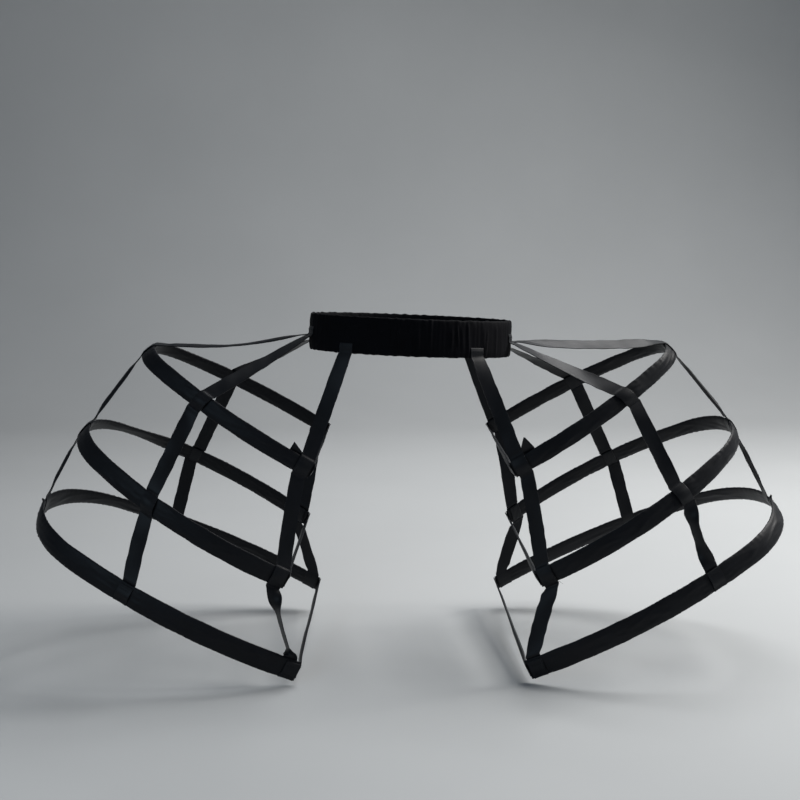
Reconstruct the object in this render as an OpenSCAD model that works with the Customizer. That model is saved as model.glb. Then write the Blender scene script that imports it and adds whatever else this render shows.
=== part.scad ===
// Crinoline cage: a pair of side hoops (panniers) on a gathered elastic waistband.
// Millimetres. Origin: middle of the waist opening, half way up the waistband.
// X to the right as seen from the front, Y to the back, Z up.

/* [Waistband] */
// Waist opening, side to side
waist_w = 234; // [210:2:270]
// Waist opening, front to back
waist_d = 168; // [150:2:190]
// Height of the waistband
band_h = 43; // [38:1:50]
// Thickness of one layer of the gathered cloth
cloth_t = 1.2; // [0.9:0.1:1.5]
// Number of gathers round the waistband
gathers = 92; // [72:2:100]
// Height of a gather above the cloth
gather_h = 1.4; // [0.6:0.1:1.6]
// Thickness of the elastic inside the waistband
elastic_t = 1.6; // [1.2:0.1:2]
// Sewn margin above and below the elastic
elastic_margin = 2.2; // [1.6:0.1:3]

/* [Hoop casings] */
// Thickness of a padded casing
casing_t = 4.6; // [4.2:0.1:5.4]
// Lean of a casing, lower edge outward
casing_lean = 9; // [4:1:14]
// Fullness of the padding round the outer bend, on each face
bend_full = 0.1; // [0.05:0.01:0.12]
// Width of the bone inside a casing
bone_w = 13; // [9:0.5:14]
// Thickness of the bone
bone_t = 1.6; // [1:0.1:1.8]
// Distance of a bone's end from the end of its casing
bone_setback = 4; // [2:0.5:8]

/* [Top hoop] */
// Distance of its inner end from the middle of the body
top_in = 110.5; // [105:0.5:118]
// Drop of its inner end below the middle of the waistband
top_drop = 138.5; // [130:0.5:146]
// Reach from the inner end to the outer bend
top_reach = 237; // [228:1:246]
// Half of its depth, front to back
top_half_d = 100; // [94:1:106]
// Distance from the inner end to the deepest place
top_belly = 35; // [28:1:42]
// Radius of the outer bend
top_bend_r = 58; // [52:1:64]
// Tilt, outer bend up
top_tilt = 31; // [29:0.5:33]
// Width of its casing from the upper to the lower edge
top_casing_w = 20; // [18:0.5:22]

/* [Middle hoop] */
// Distance of its inner end from the middle of the body
middle_in = 139.5; // [132:0.5:147]
// Drop of its inner end below the middle of the waistband
middle_drop = 262.5; // [254:0.5:270]
// Reach from the inner end to the outer bend
middle_reach = 295; // [286:1:304]
// Half of its depth, front to back
middle_half_d = 124; // [118:1:130]
// Distance from the inner end to the deepest place
middle_belly = 87; // [80:1:94]
// Radius of the outer bend
middle_bend_r = 87; // [81:1:93]
// Tilt, outer bend up
middle_tilt = 30.5; // [28.5:0.5:32.5]
// Width of its casing from the upper to the lower edge
middle_casing_w = 22.5; // [20:0.5:25]

/* [Bottom hoop] */
// Distance of its inner end from the middle of the body
bottom_in = 127; // [120:0.5:134]
// Drop of its inner end below the middle of the waistband
bottom_drop = 361.5; // [354:0.5:370]
// Reach from the inner end to the outer bend
bottom_reach = 356; // [347:1:365]
// Half of its depth, front to back
bottom_half_d = 143; // [137:1:149]
// Distance from the inner end to the deepest place
bottom_belly = 99; // [92:1:106]
// Radius of the outer bend
bottom_bend_r = 113; // [107:1:119]
// Tilt, outer bend up
bottom_tilt = 25.5; // [23.5:0.5:27.5]
// Width of its casing from the upper to the lower edge
bottom_casing_w = 25; // [22:0.5:27]

/* [All hoops] */
// Lift of the back of a hoop
hoop_lift = 5; // [3:0.5:7]

/* [Tapes] */
// Width of a tape
tape_w = 17; // [14:0.5:18]
// Thickness of a tape
tape_t = 0.8; // [0.6:0.1:1]
// Thickness of a tape's wrap round a casing
wrap_t = 1.1; // [1:0.1:1.4]
// Distance of a front or back tape from the middle of the body
front_tape_x = 76; // [68:1:86]
// Spacing of the three tapes at the side of the waistband
side_spacing = 20; // [19:0.5:22]
// Length of a tape sewn on the waistband
sewn_len = 12; // [9:0.5:14]
// Distance below the middle of the waistband at which the back quarter tapes are sewn
back_quarter_low = 8; // [0:1:12]
// Place of the left front quarter tape on the top hoop, part of the way from outer bend to front end
left_front_quarter = 0.445; // [0.42:0.005:0.5]
// Shift of that place from one hoop to the next
left_front_shift = 0.027; // [0:0.001:0.03]
// Place of the right front quarter tape, part of the way from the outer bend to the front end
right_front_quarter = 0.44; // [0.42:0.005:0.5]
// Place of the left back quarter tape, part of the way from the outer bend to the back end
left_back_quarter = 0.515; // [0.48:0.005:0.56]
// Place of the right back quarter tape, part of the way from the outer bend to the back end
right_back_quarter = 0.535; // [0.48:0.005:0.56]
// Sag of the side tape between waistband and top hoop
side_sag = 6; // [0:1:9]
// Turn of the left front tape between middle and bottom hoop
left_front_turn = 72; // [0:4:80]
// Turn of the right front quarter tape between middle and bottom hoop
right_quarter_turn = 52; // [0:4:80]
// Width of the stay tape across the open end of a hoop
stay_w = 15; // [12:0.5:16]
// Thickness of a stay tape
stay_t = 1.2; // [0.8:0.1:1.6]

/* [Clearances] */
// Space on each side of the elastic
elastic_gap = 0.3; // [0.2:0.05:0.5]
// Open seam along the lower edge of the waistband casing
seam_gap = 0.4; // [0.3:0.05:0.6]
// Space round a bone
bone_gap = 0.25; // [0.15:0.05:0.35]
// Space between a casing and the tape wrapped round it
wrap_gap = 0.25; // [0.2:0.05:0.4]
// Space between the gathers and a tape sewn over them
sewn_gap = 0.2; // [0.1:0.05:0.4]
// Distance of a corner wrap from the end of the casing
corner_gap = 3; // [2:0.5:6]

/* [Hidden] */
// Sides of a full turn of a long arc, of a casing's rounded edge and of the elastic
$fn = 360;
round_sides = 64;
elastic_sides = 120;
cloth_colour = [0.05, 0.05, 0.06];
satin_colour = [0.08, 0.08, 0.1];
bone_colour = [0.75, 0.76, 0.78];
elastic_colour = [0.2, 0.2, 0.21];

pocket_t = elastic_t + 2 * elastic_gap;
band_t = 2 * cloth_t + pocket_t;
elastic_w = band_h - 2 * (cloth_t + elastic_margin);
sewn_r = band_t + gather_h + sewn_gap + tape_t / 2;
stations = 3 * gathers;
strip_steps = 10;
// Parts of a gather's height at the edges, near the edges and on the inner face
edge_part = 0.2;
near_part = 0.9;
inner_part = 0.5;
// Unevenness of the gathers, and the angle from a ridge to the dip behind it
uneven = 0.18;
dip_shift = 7;
// Height of the waves along the edges, and of the fold along the upper edge
edge_wave_h = gather_h / 3;
fold_h = cloth_t / 2;
// Length over which a sewn tape bends away from the waistband
tape_bend = sewn_len / 4;
// Length of a casing's leg inside the fuller bend
bend_lap = casing_t / 4;

// One hoop: inner end, drop, reach, half depth, belly, bend radius, tilt, casing width
TOP = [top_in, top_drop, top_reach, top_half_d, top_belly, top_bend_r, top_tilt, top_casing_w];
MIDDLE = [
  middle_in, middle_drop, middle_reach, middle_half_d, middle_belly, middle_bend_r, middle_tilt,
  middle_casing_w
];
BOTTOM = [
  bottom_in, bottom_drop, bottom_reach, bottom_half_d, bottom_belly, bottom_bend_r, bottom_tilt,
  bottom_casing_w
];

function unit(v) = v / norm(v);
function degrees(arc, r) = arc / r * 180 / PI;

// Waistband: a point at distance r outside the waist opening, and the direction along the band
function band_normal(a) = unit([cos(a) / (waist_w / 2), sin(a) / (waist_d / 2), 0]);
function band_point(a, r, z) = [waist_w / 2 * cos(a), waist_d / 2 * sin(a), z] + r * band_normal(a);
function band_along(a) = [-band_normal(a)[1], band_normal(a)[0], 0];
function band_outline(r) =
  [for (i = [0:elastic_sides - 1]) let (q = band_point(360 * i / elastic_sides, r, 0)) [q[0], q[1]]];
function band_angle(x) = acos(x / (waist_w / 2 + band_t));

// Gathers: uneven ridges, some high, some low
function ridge(a) =
  (0.5 + 0.5 * sin(gathers * a + 70 * sin(5 * a))) * (1 - uneven + uneven * sin(7 * a + 30));
function edge_wave(a) = edge_wave_h * sin(gathers / 2 * a + 40 * sin(3 * a));

// Hoop plan in its own plane: a long leg arc at front and back, joined by the outer bend
function leg_r(h) = let (a = h[2] - h[4]) (a * a - 2 * a * h[5] + h[3] * h[3]) / (2 * (h[3] - h[5]));
function bend_angle(h) = atan2(leg_r(h) - h[3], h[2] - h[4] - h[5]);
function end_angle(h) = 90 + asin(h[4] / leg_r(h));
function leg_len(h) = leg_r(h) * (end_angle(h) - bend_angle(h)) * PI / 180;
function bend_len(h) = h[5] * bend_angle(h) * PI / 180;
function half_len(h) = leg_len(h) + bend_len(h);
function end_half_d(h) = h[3] - leg_r(h) + leg_r(h) * sin(end_angle(h));

// A place on a hoop: g is -1 at the front end, 0 at the outer bend, 1 at the back end.
// Gives the arc's centre, its radius and the angle on it.
function spot(h, g) =
  let (s = (1 - abs(g)) * half_len(h), side = g < 0 ? -1 : 1)
  s < leg_len(h)
    ? [h[4], side * (h[3] - leg_r(h)), leg_r(h), side * (end_angle(h) - degrees(s, leg_r(h)))]
    : [h[2] - h[5], 0, h[5], side * (bend_angle(h) - degrees(s - leg_len(h), h[5]))];

// From a hoop's own plane to the part's frame
function turned(h, q) =
  let (
    y = q[1] * cos(hoop_lift) - q[2] * sin(hoop_lift),
    z = q[1] * sin(hoop_lift) + q[2] * cos(hoop_lift)
  )
  [q[0] * cos(h[6]) - z * sin(h[6]), y, q[0] * sin(h[6]) + z * cos(h[6])];
function placed(h, q) = turned(h, q) + [h[0], 0, -h[1]];

// Middle of a wrap's lower (d = 1) or upper (d = -1) edge, and the direction along the hoop there
function wrap_edge(h) = h[7] / 2 + wrap_gap + wrap_t / 2;
function edge_point(h, g, d) =
  let (p = spot(h, g), w = wrap_edge(h), r = p[2] + d * w * sin(casing_lean))
  placed(h, [p[0] + r * cos(p[3]), p[1] + r * sin(p[3]), -d * w * cos(casing_lean)]);
function along(h, g) = let (p = spot(h, g)) turned(h, [-sin(p[3]), cos(p[3]), 0]);
function corner(h) = 1 - (corner_gap + tape_w / 2) / half_len(h);

// Flat ribbon through the points p, its ends and width along the directions w
module ribbon(p, w) {
  n = len(p);
  run = [for (i = [0:n - 1]) unit(p[min(i + 1, n - 1)] - p[max(i - 1, 0)])];
  face = [for (i = [0:n - 1]) unit(cross(run[i], w[i]))];
  points = [
    for (i = [0:n - 1])
      for (c = [[1, 1], [-1, 1], [-1, -1], [1, -1]])
        p[i] + c[0] * tape_w / 2 * w[i] + c[1] * tape_t / 2 * face[i]
  ];
  sides = [
    for (i = [0:n - 2])
      for (j = [0:3])
        let (a = 4 * i + j, b = 4 * i + (j + 1) % 4)
        for (t = [[a, a + 4, b + 4], [a, b + 4, b]])
          t
  ];
  e = 4 * (n - 1);
  ends = [[0, 1, 2], [0, 2, 3], [e + 3, e + 2, e + 1], [e + 3, e + 1, e]];
  polyhedron(points, concat(sides, ends), convexity = 6);
}

// Width direction turned about the run of the ribbon
function rolled(w, run, a) = w * cos(a) + cross(run, w) * sin(a);

// Ribbon from a wrap on one hoop to the wrap on the next hoop down
module strip(h0, g0, h1, g1, turn) {
  a = edge_point(h0, g0, 1);
  b = edge_point(h1, g1, -1);
  run = unit(b - a);
  s = [for (i = [0:strip_steps]) i / strip_steps];
  ribbon(
    [for (t = s) a + t * (b - a)],
    [for (t = s) rolled(unit((1 - t) * along(h0, g0) + t * along(h1, g1)), run, turn * pow(sin(180 * t), 2))]
  );
}

// Ribbon sewn on the waistband at angle a from height z0 to z1, then running to the top hoop
module waist_strip(a, z0, z1, g, sag) {
  low = band_point(a, sewn_r, z1);
  goal = edge_point(TOP, g, -1);
  run = unit(goal - low);
  start = low + tape_bend * run;
  bend = [
    for (t = [0, 0.25, 0.5, 0.75])
      pow(1 - t, 2) * (low + [0, 0, tape_bend]) + 2 * t * (1 - t) * low + t * t * start
  ];
  s = [for (i = [0:strip_steps]) i / strip_steps];
  down = [for (t = s) start + t * (goal - start) - [0, 0, 4 * sag * t * (1 - t)]];
  w0 = band_along(a);
  ribbon(
    concat([band_point(a, sewn_r, z0)], bend, down),
    concat([for (i = [0:4]) w0], [for (t = s) unit((1 - t) * w0 + t * along(TOP, g))])
  );
}

// Flat section with rounded edges, leaned with the casing
module flat_section(t, w) {
  rotate(casing_lean) {
    square([t, w - t], center = true);
    translate([0, (w - t) / 2]) circle(d = t, $fn = round_sides);
    translate([0, (t - w) / 2]) circle(d = t, $fn = round_sides);
  }
}

// Section swept round a centre from one angle to another
module arc_sweep(x, y, r, from, to)
  translate([x, y, 0]) rotate([0, 0, from]) rotate_extrude(angle = to - from) translate([r, 0]) children();

// From a hoop's own plane to the part's frame, as a transform
module hoop_place(h) translate([h[0], 0, -h[1]]) rotate([hoop_lift, -h[6], 0]) children();

// A leg's section and the bend's section swept round a whole hoop, the legs' ends moved by extra.
// The legs run a little way into the fuller bend.
module hoop_sweep(h, extra) {
  first = bend_angle(h) - degrees(bend_lap, leg_r(h));
  last = end_angle(h) + degrees(extra, leg_r(h));
  arc_sweep(h[4], h[3] - leg_r(h), leg_r(h), first, last) children(0);
  arc_sweep(h[2] - h[5], 0, h[5], -bend_angle(h), bend_angle(h)) children(1);
  arc_sweep(h[4], leg_r(h) - h[3], leg_r(h), -last, -first) children(0);
}

module casing_section(h, full) {
  hollow = 2 * (bone_gap - full);
  difference() {
    flat_section(casing_t + 2 * full, h[7] + 2 * full);
    rotate(casing_lean) square([bone_t + hollow, bone_w + hollow], center = true);
  }
}

module bone_section(full) rotate(casing_lean) square([bone_t + 2 * full, bone_w + 2 * full], center = true);

module hoop_casing(h) {
  hoop_place(h) difference() {
    hoop_sweep(h, casing_t) {
      casing_section(h, 0);
      casing_section(h, bend_full);
    }
    translate([-4 * casing_t, -2 * h[3], -2 * h[7]]) cube([4 * casing_t, 4 * h[3], 4 * h[7]]);
  }
}

module hoop_bone(h) {
  hoop_place(h) hoop_sweep(h, -bone_setback) {
    bone_section(-bend_full / 2);
    bone_section(0);
  }
}

module hoop_stay(h) {
  hoop_place(h)
    translate([-stay_t, -end_half_d(h) - casing_t / 2, -stay_w / 2])
      cube([stay_t, 2 * end_half_d(h) + casing_t, stay_w]);
}

// Tape wrapped once round a casing
module wrap(h, g) {
  p = spot(h, g);
  half = degrees(tape_w / 2, p[2]);
  hoop_place(h) arc_sweep(p[0], p[1], p[2], p[3] - half, p[3] + half) difference() {
    flat_section(casing_t + 2 * (wrap_gap + wrap_t), h[7] + 2 * (wrap_gap + wrap_t));
    flat_section(casing_t + 2 * wrap_gap, h[7] + 2 * wrap_gap);
  }
}

// Tape from the waistband over the three hoops, at the places g on them
module tape(a, z0, z1, g, sag, turn) {
  waist_strip(a, z0, z1, g[0], sag);
  wrap(TOP, g[0]);
  strip(TOP, g[0], MIDDLE, g[1], 0);
  wrap(MIDDLE, g[1]);
  strip(MIDDLE, g[1], BOTTOM, g[2], turn);
  wrap(BOTTOM, g[2]);
}

front_angle = band_angle(front_tape_x);
side_angle = degrees(side_spacing, waist_d / 2 + band_t);
corners = [corner(TOP), corner(MIDDLE), corner(BOTTOM)];
lower_edge = -band_h / 2;

module front_tape(turn) tape(-front_angle, lower_edge + sewn_len, lower_edge, -corners, 0, turn);
module back_tape() tape(front_angle, lower_edge + sewn_len, lower_edge, corners, 0, 0);
module front_quarter_tape(g, shift, turn)
  tape(-side_angle, sewn_len / 2, -sewn_len / 2, [for (i = [0:2]) -g - i * shift], 0, turn);
module back_quarter_tape(g)
  tape(side_angle, sewn_len / 2 - back_quarter_low, -sewn_len / 2 - back_quarter_low, [g, g, g], 0, 0);
module side_tape() tape(0, sewn_len / 2, -sewn_len / 2, [0, 0, 0], side_sag, 0);

module other_side() mirror([1, 0, 0]) children();

module waistband_casing() {
  half = band_h / 2;
  sections = [
    for (i = [0:stations - 1])
      let (a = 360 * i / stations)
      let (out = gather_h * ridge(a), dip = inner_part * gather_h * ridge(a + dip_shift), e = edge_wave(a))
      [
        for (q = [
          [cloth_t + seam_gap, -half],
          [band_t + edge_part * out, -half + e],
          [band_t + near_part * out, -half / 2],
          [band_t + out, 0],
          [band_t + near_part * out, half / 2],
          [band_t + edge_part * out, half - e],
          [band_t / 2, half + fold_h - e],
          [0, half - e],
          [-dip, 0],
          [0, -half],
          [cloth_t, -half],
          [cloth_t, half - cloth_t],
          [band_t - cloth_t, half - cloth_t],
          [band_t - cloth_t, cloth_t - half],
          [cloth_t + seam_gap, cloth_t - half]
        ]) band_point(a, q[0], q[1])
      ]
  ];
  m = len(sections[0]);
  faces = [
    for (i = [0:stations - 1])
      for (j = [0:m - 1])
        let (k = (i + 1) % stations, l = (j + 1) % m)
        for (t = [[i * m + j, i * m + l, k * m + l], [i * m + j, k * m + l, k * m + j]])
          t
  ];
  color(cloth_colour) polyhedron([for (s = sections) for (q = s) q], faces, convexity = 8);
}

module waistband_elastic() {
  inner = cloth_t + elastic_gap;
  color(elastic_colour) translate([0, 0, -elastic_w / 2]) linear_extrude(elastic_w) difference() {
    polygon(band_outline(inner + elastic_t));
    polygon(band_outline(inner));
  }
}

module right_top_casing() color(cloth_colour) hoop_casing(TOP);
module right_top_bone() color(bone_colour) hoop_bone(TOP);
module right_top_stay() color(satin_colour) hoop_stay(TOP);
module right_middle_casing() color(cloth_colour) hoop_casing(MIDDLE);
module right_middle_bone() color(bone_colour) hoop_bone(MIDDLE);
module right_middle_stay() color(satin_colour) hoop_stay(MIDDLE);
module right_bottom_casing() color(cloth_colour) hoop_casing(BOTTOM);
module right_bottom_bone() color(bone_colour) hoop_bone(BOTTOM);
module right_bottom_stay() color(satin_colour) hoop_stay(BOTTOM);
module left_top_casing() color(cloth_colour) other_side() hoop_casing(TOP);
module left_top_bone() color(bone_colour) other_side() hoop_bone(TOP);
module left_top_stay() color(satin_colour) other_side() hoop_stay(TOP);
module left_middle_casing() color(cloth_colour) other_side() hoop_casing(MIDDLE);
module left_middle_bone() color(bone_colour) other_side() hoop_bone(MIDDLE);
module left_middle_stay() color(satin_colour) other_side() hoop_stay(MIDDLE);
module left_bottom_casing() color(cloth_colour) other_side() hoop_casing(BOTTOM);
module left_bottom_bone() color(bone_colour) other_side() hoop_bone(BOTTOM);
module left_bottom_stay() color(satin_colour) other_side() hoop_stay(BOTTOM);
module right_front_tape() color(satin_colour) front_tape(0);
module right_front_quarter_tape()
  color(satin_colour) front_quarter_tape(right_front_quarter, 0, right_quarter_turn);
module right_side_tape() color(satin_colour) side_tape();
module right_back_quarter_tape() color(satin_colour) back_quarter_tape(right_back_quarter);
module right_back_tape() color(satin_colour) back_tape();
module left_front_tape() color(satin_colour) other_side() front_tape(left_front_turn);
module left_front_quarter_tape()
  color(satin_colour) other_side() front_quarter_tape(left_front_quarter, left_front_shift, 0);
module left_side_tape() color(satin_colour) other_side() side_tape();
module left_back_quarter_tape() color(satin_colour) other_side() back_quarter_tape(left_back_quarter);
module left_back_tape() color(satin_colour) other_side() back_tape();

waistband_casing();
waistband_elastic();
left_top_casing();
left_top_bone();
left_top_stay();
left_middle_casing();
left_middle_bone();
left_middle_stay();
left_bottom_casing();
left_bottom_bone();
left_bottom_stay();
right_top_casing();
right_top_bone();
right_top_stay();
right_middle_casing();
right_middle_bone();
right_middle_stay();
right_bottom_casing();
right_bottom_bone();
right_bottom_stay();
left_front_tape();
left_front_quarter_tape();
left_side_tape();
left_back_quarter_tape();
left_back_tape();
right_front_tape();
right_front_quarter_tape();
right_side_tape();
right_back_quarter_tape();
right_back_tape();
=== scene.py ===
"""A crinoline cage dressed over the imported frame: gathered waistband, padded hoops and satin tapes."""
import math

import bpy
import numpy as np
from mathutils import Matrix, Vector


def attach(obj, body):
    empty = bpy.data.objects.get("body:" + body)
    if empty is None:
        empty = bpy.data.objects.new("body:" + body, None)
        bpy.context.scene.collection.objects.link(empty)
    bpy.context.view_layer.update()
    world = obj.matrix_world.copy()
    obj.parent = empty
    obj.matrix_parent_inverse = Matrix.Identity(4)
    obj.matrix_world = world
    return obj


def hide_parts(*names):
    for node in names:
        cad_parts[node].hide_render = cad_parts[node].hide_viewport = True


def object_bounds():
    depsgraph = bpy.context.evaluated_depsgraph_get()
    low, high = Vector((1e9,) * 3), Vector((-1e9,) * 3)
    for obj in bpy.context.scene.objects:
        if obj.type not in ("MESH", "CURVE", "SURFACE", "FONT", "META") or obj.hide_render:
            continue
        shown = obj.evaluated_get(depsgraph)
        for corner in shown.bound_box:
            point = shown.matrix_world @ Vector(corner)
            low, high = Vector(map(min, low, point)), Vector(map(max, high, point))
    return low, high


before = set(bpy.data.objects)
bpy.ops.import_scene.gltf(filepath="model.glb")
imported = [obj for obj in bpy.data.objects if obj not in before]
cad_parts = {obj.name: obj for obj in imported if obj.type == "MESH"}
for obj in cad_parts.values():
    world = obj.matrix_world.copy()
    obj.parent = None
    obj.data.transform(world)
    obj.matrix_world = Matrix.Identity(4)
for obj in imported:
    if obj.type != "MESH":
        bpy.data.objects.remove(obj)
cad_low, cad_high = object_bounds()

MM = 0.001

# Sizes in metres, the same as the part's own
WAIST_W = 0.234
WAIST_D = 0.168
BAND_H = 0.043
BAND_T = 0.0046
GATHER_H = 0.0014
CLOTH_T = 0.0012
SEAM_GAP = 0.0004
ELASTIC_W = 0.0362
ELASTIC_T = 0.0016
CASING_T = 0.0046
BONE_W = 0.013
BONE_T = 0.0016
BONE_SETBACK = 0.004
TAPE_W = 0.017
TAPE_T = 0.0008
STAY_W = 0.015
STAY_T = 0.0012
CORNER_GAP = 0.003
SEWN_LEN = 0.012
FRONT_TAPE_X = 0.076
SIDE_SPACING = 0.020
BACK_QUARTER_LOW = 0.008

# Each hoop: inner end, drop, reach, half depth, belly, bend radius, tilt in degrees, casing width
HOOP_SIZES = {
    "top": (0.1105, 0.1385, 0.237, 0.100, 0.035, 0.058, 31.0, 0.020),
    "middle": (0.1395, 0.2625, 0.295, 0.124, 0.087, 0.087, 30.5, 0.0225),
    "bottom": (0.127, 0.3615, 0.356, 0.143, 0.099, 0.113, 25.5, 0.025),
}
# Lift of the back of every hoop, as in the part
HOOP_LIFT = math.radians(5)
# Lean of each casing in degrees, lower edge outward, at places from -1 (front end) to 1 (back end)
LEANS = {
    ("left", "top"): ((-0.35, 6), (0.0, 22), (0.25, 30), (0.55, 18)),
    ("left", "middle"): ((-0.35, 6), (0.0, 12), (0.25, 46), (0.5, 20)),
    ("left", "bottom"): ((-0.35, 6), (0.0, -6), (0.32, 34), (0.55, 24)),
    ("right", "top"): ((-0.4, 6), (-0.2, -10), (0.0, 14), (0.25, 24), (0.5, 18)),
    ("right", "middle"): ((-0.4, 6), (-0.2, -14), (0.0, 0), (0.3, 22), (0.5, 20)),
    ("right", "bottom"): ((-0.35, 6), (0.0, 12), (0.28, 28), (0.5, 24)),
}
LEVELS = ("top", "middle", "bottom")
SIDES = {"left": -1, "right": 1}

# How the waistband sits when worn: its left end up, its front up and all of it a little higher
WAIST_ROLL = math.radians(2.4)
WAIST_PITCH = math.radians(2.5)
WAIST_LIFT = 0.0015

# The waistband's cloth as a share of its girth, its gathers outside, as in the part, and those inside
GATHERS = 92
INNER_GATHERS = 88

# At a crossing: how far the casing is drawn in, the wrap round it and the tape that runs over the wrap
PINCH_W = 0.06
PINCH_T = 0.25
PINCH_LEN = 0.013
WRAP_GAP = 0.0002
WRAP_T = 0.0004
WRAP_DRAWN = 0.84
OVER_WRAP = 0.0008
TAPE_DRAWN = 0.95

# Lengths over which a free tape turns, and over which a crossing stops holding it
TURN_LEN = 0.028
HOLD_LEN = 0.018

# Half a casing's thickness, and the direction up
HALF_T = CASING_T / 2
UP = np.array([0.0, 0.0, 1.0])


def unit(v):
    return v / np.linalg.norm(v, axis=-1, keepdims=True)


def soft_step(x):
    x = np.clip(x, 0.0, 1.0)
    return x * x * (3 - 2 * x)


def eased(x, knots):
    """A value that eases from knot to knot, each knot a place and its value."""
    x = np.asarray(x, float)
    total = np.full(x.shape, float(knots[0][1]))
    for (x0, y0), (x1, y1) in zip(knots, knots[1:]):
        total = total + (y1 - y0) * soft_step((x - x0) / (x1 - x0))
    return total


def ripple(x, seed, shortest, longest, count=9):
    """Uneven waves along x, from the shortest to the longest in length, mostly within 1.5 of zero."""
    rng = np.random.default_rng(seed)
    lengths = rng.uniform(shortest, longest, count)
    phases = rng.uniform(0, 2 * np.pi, count)
    waves = np.sin(2 * np.pi * np.asarray(x)[..., None] / lengths + phases)
    return waves.sum(-1) / math.sqrt(count / 2)


def creases(along, across, seed, count, half_len, half_w, long, wide):
    """Soft slanting folds scattered over a band, each a ridge beside a dip, about 1 high."""
    rng = np.random.default_rng(seed)
    total = np.zeros(np.broadcast(along, across).shape)
    for _ in range(count):
        s = along - rng.uniform(-half_len, half_len)
        w = across - rng.uniform(-half_w, half_w)
        slant = rng.uniform(-0.3, 0.3)
        u = (s * math.cos(slant) + w * math.sin(slant)) / (long * rng.uniform(0.4, 1.0))
        v = (w * math.cos(slant) - s * math.sin(slant)) / (wide * rng.uniform(0.7, 1.3))
        total += rng.uniform(0.3, 1.0) * np.exp(-u * u - v * v) * (1 - 1.4 * v)
    return total


class Cloth:
    """Collects strips of points into one mesh, with coordinates along and across for the weave."""

    def __init__(self):
        self.points = []
        self.faces = []
        self.weave = []
        self.count = 0

    def strip(self, face, back, along, across, ring=False, turned=False):
        """A closed strip from its face and its back, each rows by columns.

        A ring joins its last row to its first, and a turned strip has its faces the other way round."""
        count, columns = face.shape[:2]
        around = 2 * columns
        points = np.concatenate([face, back[:, ::-1]], 1)
        rows = np.arange(count if ring else count - 1)
        i, j = np.meshgrid(rows, np.arange(around), indexing="ij")
        i2, j2 = (i + 1) % count, (j + 1) % around
        quads = np.stack([i * around + j, i * around + j2, i2 * around + j2, i2 * around + j], -1)
        quads = quads.reshape(-1, 4)
        width = across[-1] - across[0]
        v = np.concatenate([across, across[-1] + across[-1] - across[::-1], [across[0] + 2 * width]])
        u = np.append(along, along[-1] + (along[-1] - along[-2]))
        steps = ((i, j), (i, j + 1), (i + 1, j + 1), (i + 1, j))
        weave = np.stack([np.stack([u[a], v[b]], -1).reshape(-1, 2) for a, b in steps], 1)
        if not ring:
            j = np.arange(columns - 1)
            low = np.stack([j, around - 1 - j, around - 2 - j, j + 1], -1)
            high = np.stack([j, j + 1, around - 2 - j, around - 1 - j], -1) + (count - 1) * around
            caps = np.concatenate([low, high])
            across_cap = np.minimum(caps % around, around - 1 - caps % around)
            quads = np.concatenate([quads, caps])
            weave = np.concatenate([weave, np.stack([u[caps // around], v[across_cap]], -1)])
        if turned:
            quads = quads[:, ::-1]
            weave = weave[:, ::-1]
        self.points.append(points.reshape(-1, 3))
        self.faces.append(quads + self.count)
        self.weave.append(weave)
        self.count += count * around

    def make(self, name, material, slot, nodes=()):
        """Makes the piece, with its finish and the CAD nodes that it stands for; the slot is not used."""
        mesh = bpy.data.meshes.new(name)
        mesh.from_pydata(np.concatenate(self.points).tolist(), [], np.concatenate(self.faces).tolist())
        layer = mesh.uv_layers.new(name="weave")
        layer.data.foreach_set("uv", np.concatenate(self.weave).reshape(-1).astype(np.float32))
        mesh.polygons.foreach_set("use_smooth", [True] * len(mesh.polygons))
        mesh.update()
        mesh.materials.append(material)
        piece = bpy.data.objects.new(name, mesh)
        bpy.context.scene.collection.objects.link(piece)
        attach(piece, "root")
        if nodes:
            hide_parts(*nodes)
        return piece


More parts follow.
